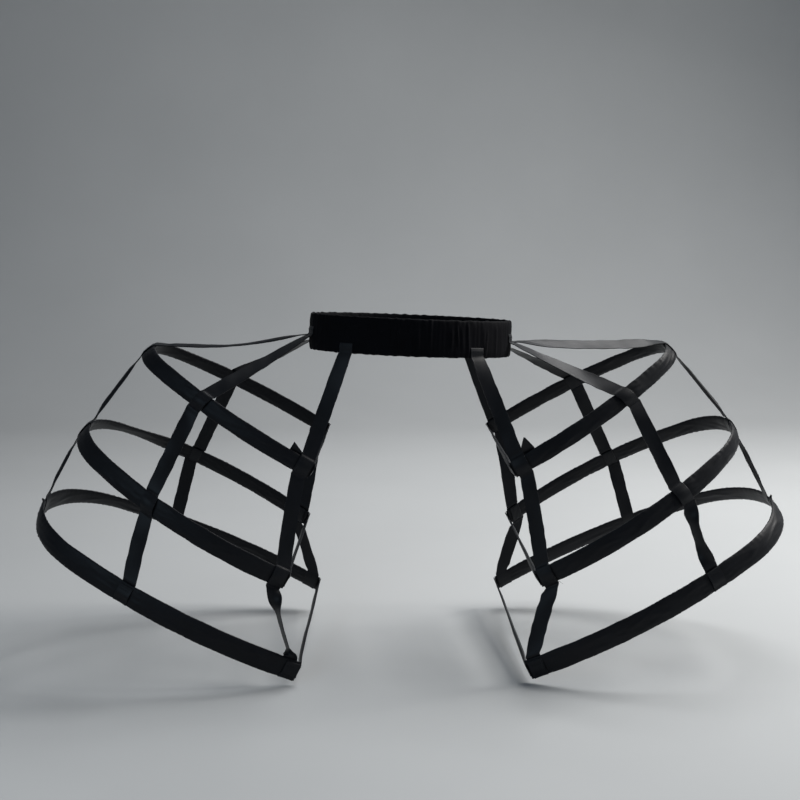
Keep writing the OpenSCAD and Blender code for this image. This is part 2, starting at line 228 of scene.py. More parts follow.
class Hoop:
    """A hoop's middle line: the front end at g = -1, the outer bend at 0 and the back end at 1."""

    def __init__(self, side, leans, inner, drop, reach, half_d, belly, bend_r, tilt, width):
        straight = reach - belly
        self.leg_r = (straight**2 - 2 * straight * bend_r + half_d**2) / (2 * (half_d - bend_r))
        self.bend_a = math.atan2(self.leg_r - half_d, straight - bend_r)
        self.end_a = math.pi / 2 + math.asin(belly / self.leg_r)
        self.leg_len = self.leg_r * (self.end_a - self.bend_a)
        self.half_len = self.leg_len + bend_r * self.bend_a
        self.end_half_d = half_d - self.leg_r + self.leg_r * math.sin(self.end_a)
        self.corner = 1 - (CORNER_GAP + TAPE_W / 2) / self.half_len
        self.side, self.reach, self.half_d, self.belly, self.bend_r = side, reach, half_d, belly, bend_r
        self.half_w = width / 2
        self.leans = leans
        self.origin = np.array([side * inner, 0.0, -drop])
        tilt = math.radians(tilt)
        c, s = math.cos(tilt), math.sin(tilt)
        lift_c, lift_s = math.cos(HOOP_LIFT), math.sin(HOOP_LIFT)
        turn = np.array([[c, -s * lift_s, -s * lift_c], [0, lift_c, -lift_s], [s, c * lift_s, c * lift_c]])
        self.turn = np.diag([side, 1.0, 1.0]) @ turn

    def at(self, g):
        """Middle, direction along, outward and up at the places g, and the radius of the line there."""
        g = np.asarray(g, float)
        s = (1 - np.abs(g)) * self.half_len
        way = np.where(g < 0, -1.0, 1.0)
        leg = s < self.leg_len
        on_leg = self.end_a - s / self.leg_r
        on_bend = self.bend_a - (s - self.leg_len) / self.bend_r
        a = way * np.where(leg, on_leg, on_bend)
        r = np.where(leg, self.leg_r, self.bend_r)
        x = np.where(leg, self.belly, self.reach - self.bend_r) + r * np.cos(a)
        y = np.where(leg, way * (self.half_d - self.leg_r), 0.0) + r * np.sin(a)
        zero = np.zeros_like(a)
        middle = np.stack([x, y, zero], -1) @ self.turn.T + self.origin
        along = np.stack([-np.sin(a), np.cos(a), zero], -1) @ self.turn.T
        outward = np.stack([np.cos(a), np.sin(a), zero], -1) @ self.turn.T
        up = np.stack([zero, zero, zero + 1], -1) @ self.turn.T
        return middle, along, outward, up, r

    def section(self, g):
        """Middle of a casing at g, directions along, to its upper edge and outward, and the radius."""
        middle, along, outward, up, r = self.at(g)
        lean = np.radians(eased(g, self.leans))[..., None]
        edge = up * np.cos(lean) - outward * np.sin(lean)
        face = outward * np.cos(lean) + up * np.sin(lean)
        return middle, along, edge, face, r


HOOPS = {
    (side, level): Hoop(SIDES[side], leans, *HOOP_SIZES[level]) for (side, level), leans in LEANS.items()
}


def seated():
    """Turns directions of the level waistband into the way it sits when worn."""
    c, s = math.cos(WAIST_ROLL), math.sin(WAIST_ROLL)
    roll = np.array([[c, 0, s], [0, 1, 0], [-s, 0, c]])
    c, s = math.cos(WAIST_PITCH), math.sin(WAIST_PITCH)
    return roll @ np.array([[1, 0, 0], [0, c, s], [0, -s, c]])


SEAT = seated()
SEAT_UP = SEAT @ UP


def band_spot(side, degrees):
    """The waist opening at an angle from the side: a point, the outward and along directions, the curve."""
    a = math.radians(degrees)
    point = np.array([side * WAIST_W / 2 * math.cos(a), WAIST_D / 2 * math.sin(a), 0.0])
    out = unit(np.array([side * math.cos(a) / WAIST_W, math.sin(a) / WAIST_D, 0.0]))
    along = np.array([-out[1] * side, out[0] * side, 0.0])
    spread = (WAIST_W * math.sin(a) / 2) ** 2 + (WAIST_D * math.cos(a) / 2) ** 2
    curve = WAIST_W * WAIST_D / 4 / spread**1.5
    return SEAT @ point + SEAT_UP * WAIST_LIFT, SEAT @ out, SEAT @ along, curve


# Shader nodes


class Nodes:
    """Adds shader nodes to a tree; an input is a value or another node's output."""

    def __init__(self, tree):
        self.tree = tree

    def add(self, kind, inputs=None, **settings):
        node = self.tree.nodes.new(kind)
        for key, value in settings.items():
            setattr(node, key, value)
        for key, value in (inputs or {}).items():
            if isinstance(value, bpy.types.NodeSocket):
                self.tree.links.new(value, node.inputs[key])
            else:
                node.inputs[key].default_value = value
        return node

    def maths(self, operation, a, b=0.0):
        return self.add("ShaderNodeMath", {0: a, 1: b}, operation=operation).outputs[0]

    def spread(self, value, low, high):
        """A 0 to 1 value spread between low and high."""
        node = self.add("ShaderNodeMapRange", {"Value": value, "To Min": low, "To Max": high})
        return node.outputs["Result"]

    def noise(self, vector, scale, detail=2.0, rough=0.5):
        inputs = {"Vector": vector, "Scale": scale, "Detail": detail, "Roughness": rough}
        return self.add("ShaderNodeTexNoise", inputs, noise_dimensions="3D").outputs["Fac"]

    def blend(self, factor, first, second):
        """A colour between two, each a colour or another node's output."""
        node = self.add("ShaderNodeMix", {"Factor": factor}, data_type="RGBA")
        for socket, value in zip([s for s in node.inputs if s.type == "RGBA"], (first, second)):
            if isinstance(value, bpy.types.NodeSocket):
                self.tree.links.new(value, socket)
            else:
                socket.default_value = (*value, 1)
        return next(s for s in node.outputs if s.type == "RGBA")

    def stretched(self, u, v, per_u, per_v):
        """Coordinates with their own number of repeats per metre along and across."""
        x = self.maths("MULTIPLY", u, per_u)
        y = self.maths("MULTIPLY", v, per_v)
        return self.add("ShaderNodeCombineXYZ", {"X": x, "Y": y}).outputs[0]


def shader_group(name, inputs, outputs):
    """An empty group with its named values; returns its tree, its node helper and its two ends."""
    tree = bpy.data.node_groups.new(name, "ShaderNodeTree")
    for label, value in inputs.items():
        socket = tree.interface.new_socket(label, in_out="INPUT", socket_type="NodeSocketFloat")
        socket.default_value = value
    for label in outputs:
        tree.interface.new_socket(label, in_out="OUTPUT", socket_type="NodeSocketFloat")
    nodes = Nodes(tree)
    return tree, nodes, nodes.add("NodeGroupInput"), nodes.add("NodeGroupOutput")


def woven_group():
    """Warp threads along the cloth, uneven weft across it, cloudy handling marks and specks of lint."""
    labels = ("Shade", "Gloss", "Lint", "Height")
    tree, n, given, result = shader_group("woven", {"Threads": 2400.0, "Weft": 900.0}, labels)
    uv = n.add("ShaderNodeSeparateXYZ", {"Vector": n.add("ShaderNodeUVMap", uv_map="weave").outputs[0]})
    u, v = uv.outputs["X"], uv.outputs["Y"]
    place = n.add("ShaderNodeTexCoord").outputs["Object"]
    warp = n.noise(n.stretched(u, v, 70.0, given.outputs["Threads"]), 1.0, 1.0)
    weft = n.noise(n.stretched(u, v, given.outputs["Weft"], 120.0), 1.0, 1.0)
    cloud = n.noise(place, 34.0, 4.0, 0.6)
    slub = n.noise(n.stretched(u, v, 45.0, 420.0), 1.0, 3.0)
    speck = n.noise(place, 900.0, 1.0)
    few = {"Value": speck, "From Min": 0.745, "From Max": 0.80}
    lint = n.add("ShaderNodeMapRange", few).outputs["Result"]
    shade = n.maths("ADD", n.maths("MULTIPLY", cloud, 0.6), n.maths("MULTIPLY", slub, 0.4))
    gloss = n.maths("ADD", n.maths("MULTIPLY", slub, 0.5), n.maths("MULTIPLY", cloud, 0.5))
    height = n.maths("ADD", n.maths("MULTIPLY", warp, 0.6), n.maths("MULTIPLY", weft, 0.4))
    for label, value in zip(labels, (shade, gloss, lint, height)):
        tree.links.new(value, result.inputs[label])
    return tree


WOVEN = woven_group()
WEAVE_DEPTH = 0.3 * MM


def new_material(name):
    """A material with its main shader; returns it with its node helper and that shader."""
    material = bpy.data.materials.new(name)
    material.use_nodes = True
    material.node_tree.nodes.clear()
    n = Nodes(material.node_tree)
    shader = n.add("ShaderNodeBsdfPrincipled")
    output = n.add("ShaderNodeOutputMaterial")
    material.node_tree.links.new(shader.outputs[0], output.inputs["Surface"])
    return material, n, shader


def cloth_material(name, dark, light, lint, rough, threads, weft, bump, specular, sheen=0.0):
    """Woven cloth: dark to light with wear, and as rough as the first to the second value."""
    material, n, shader = new_material(name)
    woven = n.add("ShaderNodeGroup", {"Threads": threads, "Weft": weft}, node_tree=WOVEN)
    wear = n.add("ShaderNodeMapRange", {"Value": woven.outputs["Shade"], "From Min": 0.3, "From Max": 0.7})
    colour = n.blend(wear.outputs["Result"], dark, light)
    links = material.node_tree.links
    links.new(n.blend(woven.outputs["Lint"], colour, lint), shader.inputs["Base Color"])
    links.new(n.spread(woven.outputs["Gloss"], *rough), shader.inputs["Roughness"])
    raised = {"Strength": bump, "Distance": WEAVE_DEPTH, "Height": woven.outputs["Height"]}
    links.new(n.add("ShaderNodeBump", raised).outputs[0], shader.inputs["Normal"])
    shader.inputs["Specular IOR Level"].default_value = specular
    shader.inputs["Sheen Weight"].default_value = sheen
    shader.inputs["Sheen Roughness"].default_value = 0.4
    return material


BAND_CLOTH = cloth_material(
    "waistband_cloth", dark=(0.0014, 0.0015, 0.0023), light=(0.0032, 0.0034, 0.0050),
    lint=(0.015, 0.015, 0.017), rough=(0.60, 0.80), threads=1500.0, weft=1300.0, bump=0.35, specular=0.05)
HOOP_SATIN = cloth_material(
    "hoop_satin", dark=(0.0018, 0.0023, 0.0038), light=(0.0042, 0.0052, 0.0078),
    lint=(0.02, 0.02, 0.022), rough=(0.40, 0.58), threads=2400.0, weft=800.0, bump=0.25, specular=0.18)
TAPE_SATIN = cloth_material(
    "tape_satin", dark=(0.0019, 0.0025, 0.0040), light=(0.0044, 0.0055, 0.0082),
    lint=(0.02, 0.02, 0.022), rough=(0.38, 0.56), threads=2800.0, weft=1100.0, bump=0.25, specular=0.21)
THREAD = cloth_material(
    "thread", dark=(0.0030, 0.0034, 0.0048), light=(0.0080, 0.0086, 0.0110),
    lint=(0.02, 0.02, 0.022), rough=(0.55, 0.75), threads=6000.0, weft=3000.0, bump=0.4, specular=0.10)
ELASTIC = cloth_material(
    "elastic", dark=(0.012, 0.012, 0.013), light=(0.030, 0.030, 0.032), lint=(0.06, 0.06, 0.06),
    rough=(0.60, 0.80), threads=1200.0, weft=700.0, bump=0.5, specular=0.3, sheen=0.1)


def bone_material():
    """Pale plastic with faint clouds and scuffs."""
    material, n, shader = new_material("bone")
    place = n.add("ShaderNodeTexCoord").outputs["Object"]
    cloud = n.noise(place, 60.0, 4.0, 0.7)
    links = material.node_tree.links
    ramp = n.add("ShaderNodeValToRGB", {"Fac": cloud})
    ramp.color_ramp.elements[0].color = (0.66, 0.66, 0.63, 1)
    ramp.color_ramp.elements[1].color = (0.76, 0.76, 0.74, 1)
    links.new(ramp.outputs["Color"], shader.inputs["Base Color"])
    links.new(n.spread(cloud, 0.45, 0.65), shader.inputs["Roughness"])
    return material


BONE = bone_material()


def paper_material(name, low, high):
    """Matte paper for the floor and backdrop."""
    material, n, shader = new_material(name)
    place = n.add("ShaderNodeTexCoord").outputs["Object"]
    ramp = n.add("ShaderNodeValToRGB", {"Fac": n.noise(place, 3.0, 4.0)})
    ramp.color_ramp.elements[0].color = (*low, 1)
    ramp.color_ramp.elements[1].color = (*high, 1)
    material.node_tree.links.new(ramp.outputs["Color"], shader.inputs["Base Color"])
    shader.inputs["Roughness"].default_value = 0.9
    shader.inputs["Specular IOR Level"].default_value = 0.1
    return material


# Waistband


def crown(rise):
    """Fullness of the waistband across its height, 1 in the middle and 0 at the edges."""
    return np.sqrt(1 - np.abs(rise) ** 8)


def band_face(z):
    """Distance of the waistband's outer face from the waist opening, without the gathers."""
    return BAND_T / 2 * (1 + crown(z / (BAND_H / 2)))


def sit(points):
    """Moves points of the level waistband to the way it sits when worn."""
    return points @ SEAT.T + SEAT_UP * WAIST_LIFT


def waist_line(count):
    """Angles round the waist opening, with its points and outward directions there."""
    a = np.linspace(0, 2 * np.pi, count, endpoint=False)
    base = np.stack([WAIST_W / 2 * np.cos(a), WAIST_D / 2 * np.sin(a), 0 * a], -1)
    out = unit(np.stack([np.cos(a) / WAIST_W, np.sin(a) / WAIST_D, 0 * a], -1))
    return a, base, out


def elastic():
    """The ribbed elastic inside the waistband."""
    columns, ribs, rib_h = 9, 120, 0.12 * MM
    a, base, out = waist_line(720)
    z = np.linspace(-ELASTIC_W / 2, ELASTIC_W / 2, columns)
    half_t = ELASTIC_T / 2 + rib_h * np.cos(ribs * a)[:, None, None]
    x = a / (2 * np.pi) * np.pi * (WAIST_W + WAIST_D) / 2
    layers = [
        sit(base[:, None] + out[:, None] * (BAND_T / 2 + way * half_t) + UP * z[:, None]) for way in (-1, 1)
    ]
    cloth = Cloth()
    cloth.strip(*layers, x, z, ring=True)
    piece = cloth.make("elastic", ELASTIC, "elastic", ["waistband_elastic"])


def waistband():
    """The casing of the elastic: uneven gathers, ruffled edges and a sewn channel above and below."""
    rows, columns = 1140, 21
    a, base, out = waist_line(rows)
    step = np.linalg.norm(np.roll(base, -1, 0) - base, axis=1)
    x = np.concatenate([[0], np.cumsum(step)[:-1]])
    girth = step.sum()
    half = BAND_H / 2
    rise = np.sin(np.linspace(-np.pi / 2, np.pi / 2, columns))
    z = half * rise

    def from_spot(spot):
        """Distance round the waistband from a spot, the shorter way."""
        return (x - spot + girth / 2) % girth - girth / 2

    def gathers(seed, count):
        """Ridges of uneven height, width and length, spaced unevenly."""
        rng = np.random.default_rng(seed)
        spots = (np.arange(count) + rng.uniform(-0.45, 0.45, count)) * girth / count
        total = np.zeros((rows, columns))
        for spot in spots:
            lean = rng.uniform(-0.10, 0.10)
            far = from_spot(spot)
            near = np.abs(far) < 9 * MM
            across = (far[near, None] - lean * z) / (rng.uniform(1.0, 2.6) * MM)
            reach = rng.uniform(0.45, 1.1) * half
            level = rng.uniform(-0.35, 0.35) * half
            window = soft_step((reach - np.abs(z - level)) / (0.5 * half) + 0.35)
            total[near] += GATHER_H * rng.uniform(0.0, 1.0) ** 1.5 * np.exp(-across * across) * window
        return np.minimum(total, GATHER_H)

    fold = crown(rise)
    pressed = np.zeros((rows, columns))
    press_w, margin = 11 * MM, 3 * MM
    for (side, _), values in TAPES.items():
        turn = math.radians(values["angle"])
        spot = np.interp((turn if SIDES[side] > 0 else math.pi - turn) % (2 * math.pi), a, x)
        beside = soft_step((press_w - np.abs(from_spot(spot))) / margin)
        under_top = soft_step((values["top"] + margin - z) / margin)
        over_low = soft_step((z - values["low"] + margin) / margin)
        pressed = np.maximum(pressed, beside[:, None] * (under_top * over_low))
    # The gathers are fullest at the front right and the back left, and flatter under the tapes
    fullest = -math.radians(62)
    fullness = (0.6 + 0.4 * np.cos(2 * (a - fullest)))[:, None] * (1 - 0.75 * pressed)
    channel = 0.35 * MM * np.exp(-(((half - np.abs(z)) - 3.4 * MM) / (0.8 * MM)) ** 2)
    seam = SEAM_GAP / 2 * np.clip(-rise, 0, 1) ** 8
    fine = 0.05 * MM * ripple(x, 3, 4 * MM, 12 * MM)[:, None] * (0.4 + 0.6 * fold)
    outer = BAND_T / 2 + (BAND_T / 2 + gathers(5, GATHERS) * fullness) * fold - channel + fine + seam
    inner = BAND_T / 2 - (BAND_T / 2 + 0.5 * gathers(6, INNER_GATHERS)) * fold + channel - seam
    wave = 0.22 * MM * ripple(x, 8, 6 * MM, 24 * MM)[:, None]
    ruffle = 0.25 * MM * ripple(x, 9, 6 * MM, 18 * MM)[:, None] * np.abs(rise) ** 4
    height = z + wave * np.sign(rise) * np.abs(rise) ** 6
    thin = np.minimum(CLOTH_T, 0.4 * (outer - inner))

    def layer(r, squeeze):
        spread = out[:, None] * (r + ruffle)[..., None]
        return base[:, None] + spread + UP * (height * squeeze)[..., None]

    def folded(inside, outside, squeeze):
        """The cloth from its lower inner edge up, over the fold and down the outside."""
        return np.concatenate([layer(inside, squeeze), layer(outside, squeeze)[:, -2::-1]], 1)

    across = np.concatenate([z, 2 * half - z[-2::-1] + 2 * MM])
    skin = folded(inner, outer, 1.0)
    lining = folded(inner + thin, outer - thin, 1 - CLOTH_T / half)
    cloth = Cloth()
    cloth.strip(sit(skin), sit(lining), x, across, ring=True)
    piece = cloth.make("waistband", BAND_CLOTH, "waistband_cloth", ["waistband_casing"])


# Hoop casings


def full(share):
    """Fullness of a casing across its width, 1 in the middle; share goes from -1 to 1, edge to edge."""
    edge = 0.16
    return edge + (1 - edge) * (1 - np.abs(share) ** 2.8) ** 0.55


def lines_of(hoop, g):
    """Middle line, upper-edge and outward directions of a casing, with room for the places across it."""
    middle, _, edge, face, _ = hoop.section(g)
    return middle[:, None], edge[:, None], face[:, None]


def casing(side, level, crossings, seed):
    """A flat satin tube over the bone: puckered edges, slanting creases, pulled in under each wrap."""
    hoop = HOOPS[side, level]
    rows, columns = int(2 * hoop.half_len / (1.9 * MM)), 23
    g = np.linspace(-1, 1, rows)
    s = (g * hoop.half_len)[:, None]
    middle, edge, face = lines_of(hoop, g)
    share = np.cos(np.linspace(0, np.pi, columns))[None]
    from_crossings = [s - c * hoop.half_len for c in crossings]
    pinch = np.clip(sum(np.exp(-((far / PINCH_LEN) ** 4)) for far in from_crossings), 0, 1)
    free = 1 - 0.85 * pinch
    closing = 0.5 + 0.5 * soft_step((hoop.half_len - np.abs(s)) / (5 * MM))
    widening = 0.13 * MM * ripple(s, seed, 20 * MM, 80 * MM) * free
    half_w = hoop.half_w * (1 - PINCH_W * pinch) + widening
    swelling = 0.10 * MM * ripple(s, seed + 1, 25 * MM, 70 * MM) * free
    half_t = (HALF_T * (1 - PINCH_T * pinch) + swelling) * closing
    w = half_w * share
    near_edge = np.exp(-(half_w - np.abs(w)) / (3.2 * MM))
    inside = 1 - np.abs(share) ** 6
    beside = sum(np.exp(-(((np.abs(far) - 18 * MM) / (5 * MM)) ** 2)) for far in from_crossings)
    count = int(hoop.half_len / (5 * MM))
    layers = []
    for way, face_seed in ((1, seed), (-1, seed + 40)):
        pucker = 0.18 * MM * ripple(s + 0.25 * w, face_seed + 2, 4 * MM, 10 * MM) * near_edge
        folds = creases(s, w, face_seed + 3, count, hoop.half_len, 8 * MM, 16 * MM, 2.2 * MM)
        drag = beside * np.sin(2 * np.pi * w / (6.5 * MM) + face_seed)
        raised = 0.50 * MM * folds * free + 0.30 * MM * drag
        f = way * (half_t * full(share) + pucker * free + raised * inside)
        layers.append(middle + edge * w[..., None] + face * f[..., None])
    cloth = Cloth()
    cloth.strip(*layers, s[:, 0], hoop.half_w * share[0], turned=hoop.side < 0)
    name = f"{side}_{level}_casing"
    piece = cloth.make(f"{name}_satin", HOOP_SATIN, "hoop_satin", [name])


def bone(side, level):
    """The flat bone inside a casing, with rounded edges."""
    hoop = HOOPS[side, level]
    share = np.cos(np.linspace(0, np.pi, 7))
    end = 1 - BONE_SETBACK / hoop.half_len
    g = np.linspace(-end, end, 200)
    middle, edge, face = lines_of(hoop, g)
    w = BONE_W / 2 * share
    thick = BONE_T / 2 * (1 - np.abs(share) ** 8) + 0.05 * MM
    layers = [middle + edge * w[:, None] + face * (way * thick)[:, None] for way in (1, -1)]
    cloth = Cloth()
    cloth.strip(*layers, g * hoop.half_len, w, turned=hoop.side < 0)
    cloth.make(f"{side}_{level}_bone_strip", BONE, "bone", [f"{side}_{level}_bone"])


def stay(side, level, seed):
    """Tape across the open end of a hoop, from front to back, turned a little behind the front end."""
    hoop = HOOPS[side, level]
    reach = hoop.end_half_d + HALF_T
    y = np.linspace(-reach, reach, 140)[:, None]
    share = np.cos(np.linspace(0, np.pi, 9))[None]
    w = STAY_W / 2 * share
    way_back = (y / reach + 1) / 2
    slack = (y / reach) ** 2 - 1
    turn = np.radians(eased(way_back, ((0, 0), (0.14, 12), (0.9, 4), (1, 0))))
    curl = eased(way_back, ((0, 0.3), (0.2, 3.0), (0.8, 2.0), (1, 0.3))) * MM
    bow = -STAY_T / 2 + 0.6 * MM * slack * (1 + 0.3 * ripple(y, seed, 0.05, 0.2)) + curl * (1 - share**2)
    z = w * np.cos(turn) + 1.5 * MM * slack
    layers = []
    for way in (1, -1):
        x = bow + w * np.sin(turn) + way * STAY_T / 2 * (0.8 + 0.2 * np.abs(share))
        layers.append(np.stack([x, y + 0 * share, z], -1) @ hoop.turn.T + hoop.origin)
    cloth = Cloth()
    cloth.strip(*layers, y[:, 0], w[0], turned=hoop.side < 0)
    name = f"{side}_{level}_stay"
    piece = cloth.make(f"{name}_satin", TAPE_SATIN, "tape_satin", [name])


# Tapes


def wrap(cloth, hoop, g, skew, seed):
    """One turn of the tape round a casing; returns the length of tape in it."""
    rows, columns = 64, 11
    t = np.linspace(0, 2 * np.pi, rows, endpoint=False)[:, None]
    share = np.linspace(-1, 1, columns)[None]
    offset = WRAP_DRAWN * TAPE_W / 2 * share + skew * np.cos(t)
    middle, _, edge, face, _ = hoop.section(g + offset / hoop.half_len)
    pucker = 0.10 * MM * (1.5 + ripple(3 * MM * t + offset * 0.4, seed, 3 * MM, 8 * MM))
    layers = []
    for lift in (WRAP_GAP + WRAP_T + pucker, WRAP_GAP):
        grow = lift + 0.12 * MM * share**6
        w = (hoop.half_w * (1 - PINCH_W) + grow) * np.cos(t)
        f = (HALF_T * (1 - PINCH_T) + grow) * np.sign(np.sin(t)) * np.abs(np.sin(t)) ** 0.6
        layers.append(middle + edge * w[..., None] + face * f[..., None])
    turn = 4.1 * hoop.half_w
    along = turn * t[:, 0] / (2 * np.pi)
    cloth.strip(*layers, along, TAPE_W / 2 * share[0], ring=True, turned=hoop.side > 0)
    return turn


def flap(cloth, hoop, g, height, peak):
    """A corner of the tape that stands up behind the upper edge of a casing, beside a front crossing.

    It is highest at the peak, a share of its width from the crossing."""
    rise = np.linspace(0, 1, 16)[:, None]
    share = np.linspace(0, 1, 13)[None]
    start, span, low_end, past_edge = 4 * MM, 19 * MM, 0.1, 1.001
    across = start + span * share
    far_end = low_end if peak < 1 else 1
    top = height * np.interp(share, (0, peak, past_edge), (low_end, 1, far_end))
    behind = 1.4 * hoop.half_w
    w = -0.4 * hoop.half_w + (behind + top) * rise
    above = np.maximum(w - 0.8 * hoop.half_w, 0)
    f = -HALF_T - 0.9 * MM + 0.3 * above + 0.5 * MM * np.sin(5 * share + 2) * rise
    middle, _, edge, face, _ = hoop.section(g + across / hoop.half_len + 0 * rise)
    layers = [
        middle + edge * w[..., None] + face * (f + way * TAPE_T / 2)[..., None] for way in (1, -1)
    ]
    cloth.strip(*layers, behind * rise[:, 0], across[0], turned=hoop.side < 0)


class Route:
    """The line that a tape follows: points, each with its width's direction, its hold, roll and bulge."""

    # Columns of a row
    POINT = slice(0, 3)
    WIDTH = slice(3, 6)
    HELD = slice(6, 7)
    OUTWARD = slice(7, 10)
    CURVE = slice(10, 11)
    ROLL = slice(11, 12)
    BULGE = slice(12, 13)

    def __init__(self, side):
        self.side = side
        self.rows = []

    def add(self, point, width, held, outward=(0, 0, 0), curve=0.0, roll=0.0, bulge=0.0):
        self.rows.append([*point, *width, held, *outward, curve, roll, bulge])

    def run(self, end, width, roll, sag, bow, curl):
        """A free stretch to the point end, where the width has the direction given.

        The roll is an angle in degrees, or an angle with the lengths over which it comes and goes."""
        angle, rise, fall = roll if isinstance(roll, tuple) else (roll, TURN_LEN, TURN_LEN)
        last = np.array(self.rows[-1])
        start, first = last[self.POINT], last[self.WIDTH]
        length = np.linalg.norm(end - start)
        for t in np.linspace(0, 1, 18)[1:-1]:
            held = 1 - soft_step(min(t, 1 - t) * length / HOLD_LEN)
            direction = unit((1 - t) * first + t * width)
            point = start + t * (end - start) + direction * bow * math.sin(math.pi * t)
            point = point - np.array([0, 0, 4 * sag * t * (1 - t)])
            turned = soft_step(t * length / rise) * soft_step((1 - t) * length / fall)
            curled = soft_step(min(t, 1 - t) * length / TURN_LEN)
            self.add(point, direction, held, roll=math.radians(angle) * turned, bulge=curl * curled)

    def cross(self, hoop, g, points, shift, puff):
        """Over a casing: each point has its distance from the middle, upward and outward.

        On its way over, the tape moves along the casing by the shift."""
        last = len(points) - 1
        for i, (w, f) in enumerate(points):
            middle, along, edge, face, r = hoop.section(g + shift * (i / last - 0.5) / hoop.half_len)
            full_here = 4 * i * (last - i) / last**2
            self.add(middle + edge * w + face * f, along, 1.0, face, 1 / r, bulge=puff * full_here)

    def line(self):
        """A smooth line through the points, and for each place on it the row number that it has come to."""
        p = np.array(self.rows)[:, self.POINT]
        h = np.linalg.norm(np.diff(p, axis=0), axis=1)
        slope = np.diff(p, axis=0) / h[:, None]
        inner = (slope[1:] * h[:-1, None] + slope[:-1] * h[1:, None]) / (h[1:] + h[:-1])[:, None]
        slope = np.concatenate([slope[:1], inner, slope[-1:]])
        line, key = [], []
        for i, length in enumerate(h):
            t = np.arange(0, 1, 1 / max(2, round(length / (1.3 * MM))))[:, None]
            a, b = slope[i] * length, slope[i + 1] * length
            line.append(
                (2 * t**3 - 3 * t**2 + 1) * p[i] + (t**3 - 2 * t**2 + t) * a
                + (3 * t**2 - 2 * t**3) * p[i + 1] + (t**3 - t**2) * b
            )
            key.append(i + t[:, 0])
        return np.concatenate([*line, p[-1:]]), np.append(np.concatenate(key), len(p) - 1)

    def lay(self, cloth, seed, pointed):
        """Lays the ribbon along the line and returns its length; a pointed one narrows at its end."""
        line, key = self.line()
        rows = np.array(self.rows)

        def between(columns):
            """What some columns say at each place on the line."""
            numbers = np.arange(len(rows))
            return np.stack([np.interp(key, numbers, column) for column in rows[:, columns].T], -1)

        held, roll = between(self.HELD), between(self.ROLL)
        width, outward = between(self.WIDTH), between(self.OUTWARD)
        run = unit(np.gradient(line, axis=0))
        square = unit(width - (width * run).sum(1, keepdims=True) * run)
        width = unit(square * (1 - held) + unit(width) * held)
        width = unit(width * np.cos(roll) + np.cross(run, width) * np.sin(roll))
        face = self.side * unit(np.cross(run, width))
        s = np.concatenate([[0], np.cumsum(np.linalg.norm(np.diff(line, axis=0), axis=1))])[:, None]
        share = np.sin(np.linspace(-np.pi / 2, np.pi / 2, 13))[None]
        reach = TAPE_W / 2 * (1 + 0.02 * ripple(s, seed, 12 * MM, 50 * MM) * (1 - held))
        if pointed:
            reach = reach * (1 - 0.85 * soft_step((s - s[-1] + 9 * MM) / (9 * MM)))
        w = reach * share
        cupping = 0.35 * MM * (1 - held) * ripple(s, seed + 1, 0.06, 0.2)
        cup = (cupping + between(self.BULGE)) * (1 - share**2)
        buckle = 0.10 * MM * ripple(s + 0.6 * w, seed + 2, 22 * MM, 70 * MM) * (1 - held)
        thick = TAPE_T / 2 * (0.85 + 0.3 * np.abs(share) ** 8)
        middle = line[:, None] + width[:, None] * w[..., None]
        middle = middle - outward[:, None] * (between(self.CURVE) * w * w / 2)[..., None]
        layers = [middle + face[:, None] * (cup + buckle + way * thick)[..., None] for way in (1, -1)]
        cloth.strip(*layers, s[:, 0], TAPE_W / 2 * share[0], turned=self.side > 0)
        return s[-1, 0]


# Stitches: length, radius of the thread and distance from one to the next
STITCH_LEN = 2.3 * MM
STITCH_R = 0.22 * MM
STITCH_PITCH = 3.1 * MM

# A thread's section: places across it and its half thickness there, as shares of its radius
THREAD_ACROSS = np.array([-1.0, 0.0, 1.0])
THREAD_THICK = np.array([0.4, 1.0, 0.4])


def stitch(cloth, point, along, out):
    """One stitch: a short thread that rises from the cloth and dives back into it."""
    t = np.linspace(-1, 1, 7)
    size = STITCH_R * np.sqrt(1 - 0.9 * t * t)
    lift = STITCH_R * (1.1 - 1.6 * t * t)
    s = t * STITCH_LEN / 2
    middle = point + along * s[:, None] + out * lift[:, None]
    across = np.cross(along, out)
    layers = [
        middle[:, None] + across * (size[:, None] * THREAD_ACROSS)[..., None]
        + out * (way * size[:, None] * THREAD_THICK)[..., None]
        for way in (1, -1)
    ]
    cloth.strip(*layers, s, STITCH_R * THREAD_ACROSS)


def stitch_row(cloth, middle, along, half_len, out, curve):
    """Stitches side by side across a tape that lies on a curve."""
    bent = out * half_len**2 * curve / 4
    start = middle - along * half_len - bent
    count = max(1, int(2 * half_len / STITCH_PITCH))
    for i in range(count):
        stitch(cloth, start + along * (i + 0.5) * 2 * half_len / count, along, out)


# A tape at a crossing: how far off the casing's edge it starts to bend, and its shoulder there,
# as shares of the casing's half width and half thickness
EDGE_ROOM = 2.2 * MM
SHOULDER_W = 0.72
SHOULDER_T = 0.82

# Rows of stitches at a crossing: their place as a share of the casing's half width, the same for the row
# below a cut end, and their half length
ROW_PLACE = 0.62
ROW_BELOW_END = 0.22
ROW_HALF_LEN = 6.4 * MM


def over_points(half_w, lift, puff):
    """From the upper edge of a casing down its outer face to the lower edge."""
    rim = 0.45 * HALF_T + lift * 0.8
    shoulder = SHOULDER_T * HALF_T + lift + 0.2 * puff
    crest = HALF_T + lift + puff
    return [
        (half_w + EDGE_ROOM, 0.2 * MM),
        (half_w + lift * 0.8, rim),
        (SHOULDER_W * half_w, shoulder),
        (0.3 * half_w, crest),
        (-0.3 * half_w, crest),
        (-SHOULDER_W * half_w, shoulder),
        (-half_w - lift * 0.8, rim),
        (-half_w - EDGE_ROOM, 0.8 * MM),
    ]


